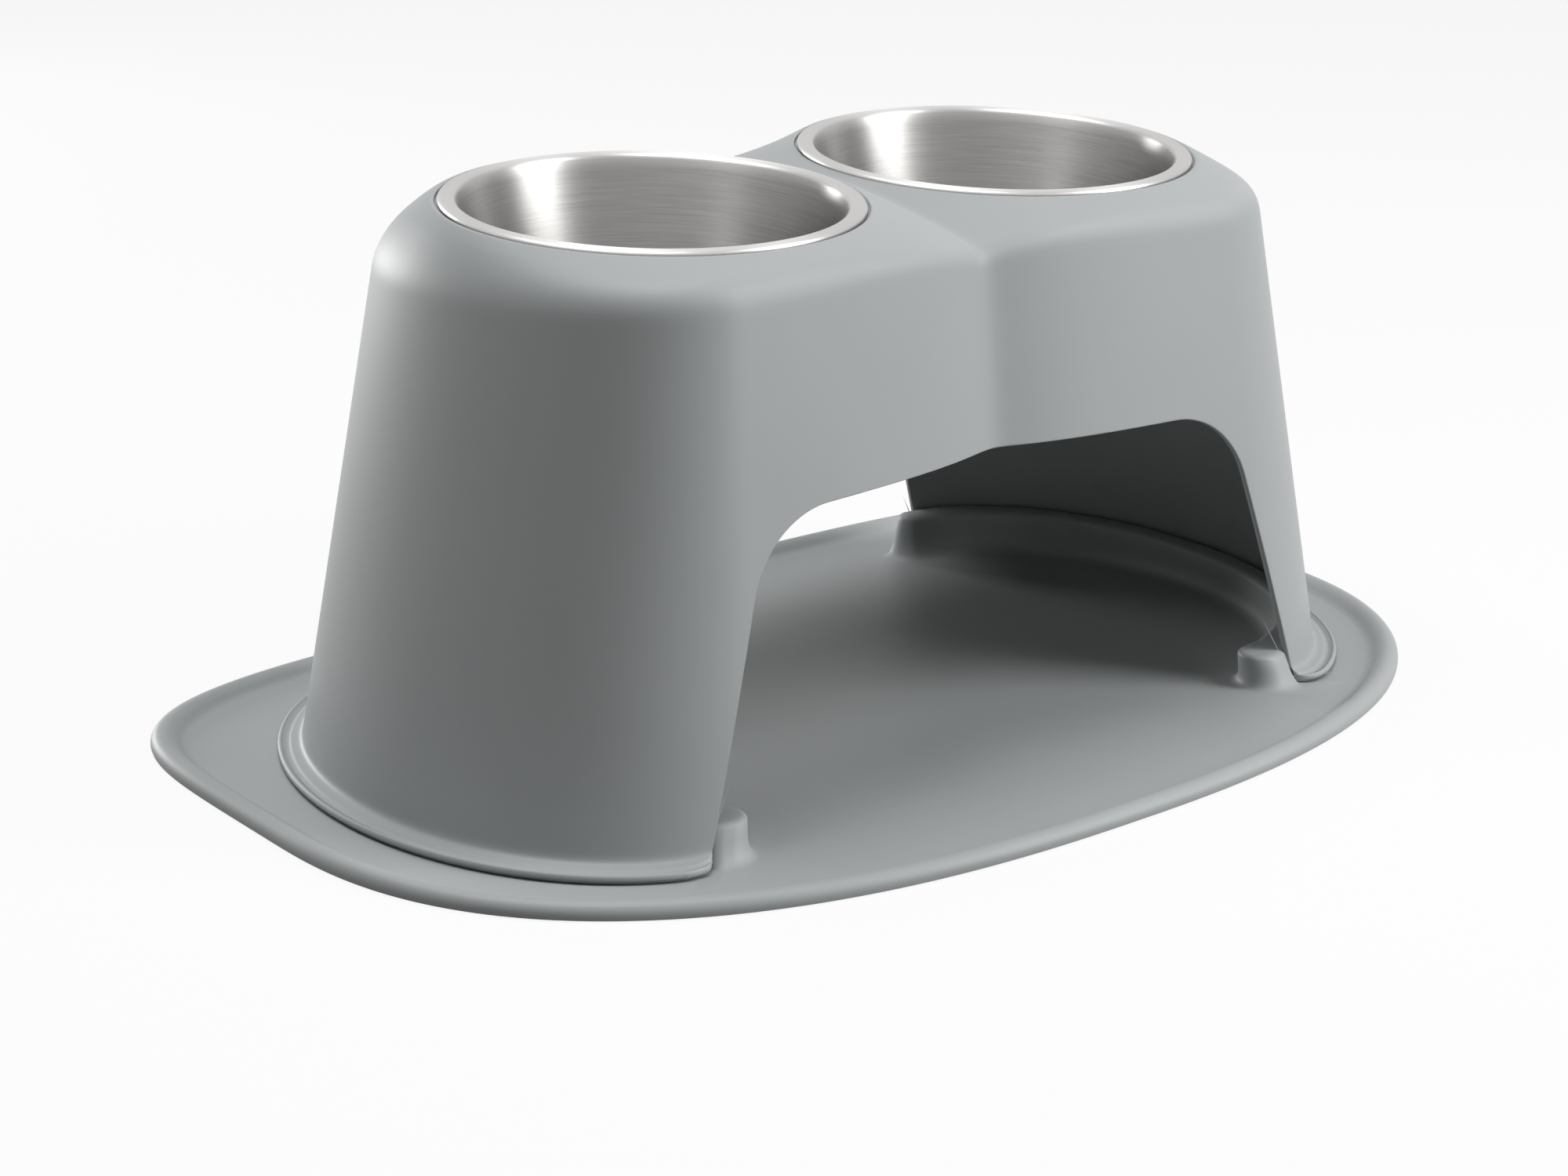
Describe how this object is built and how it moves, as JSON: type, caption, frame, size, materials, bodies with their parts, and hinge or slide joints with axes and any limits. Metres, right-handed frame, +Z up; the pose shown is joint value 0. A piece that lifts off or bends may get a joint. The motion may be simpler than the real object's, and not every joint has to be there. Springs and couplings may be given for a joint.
{
  "type": "raised double pet feeder",
  "caption": "Raised feeder: two flanged steel bowls lean forward in a moulded arched stand that sits on a rimmed spill mat with locating ridges.",
  "frame": {"origin": "middle of the overall footprint, on the surface that the foot pads rest on", "axes": "+X from the left bowl to the right bowl, +Y towards the back, +Z up"},
  "size_m": [0.608, 0.396, 0.2574],
  "materials": {
    "moulded_plastic": "fine satin moulded grey",
    "bowl_steel": "brushed round the axis, satin flange",
    "pad_rubber": "soft matt"
  },
  "bodies": {
    "base": {"mat": "moulded_plastic", "foot_pad_front_left": "pad_rubber", "foot_pad_front_middle": "pad_rubber", "foot_pad_front_right": "pad_rubber", "foot_pad_back_left": "pad_rubber", "foot_pad_back_middle": "pad_rubber", "foot_pad_back_right": "pad_rubber"},
    "stand": {"stand": "moulded_plastic"},
    "bowl_left": {"bowl_left": "bowl_steel"},
    "bowl_right": {"bowl_right": "bowl_steel"}
  },
  "joints": [
    {"name": "stand_lift", "type": "slide", "parent": "base", "child": "stand", "axis": [0, 0, 1], "range_m": [0, 0.1]},
    {"name": "bowl_left_lift", "type": "slide", "parent": "stand", "child": "bowl_left", "axis": [0, -0.0523, 0.9986], "range_m": [0, 0.12]},
    {"name": "bowl_right_lift", "type": "slide", "parent": "stand", "child": "bowl_right", "axis": [0, -0.0523, 0.9986], "range_m": [0, 0.12]}
  ]
}
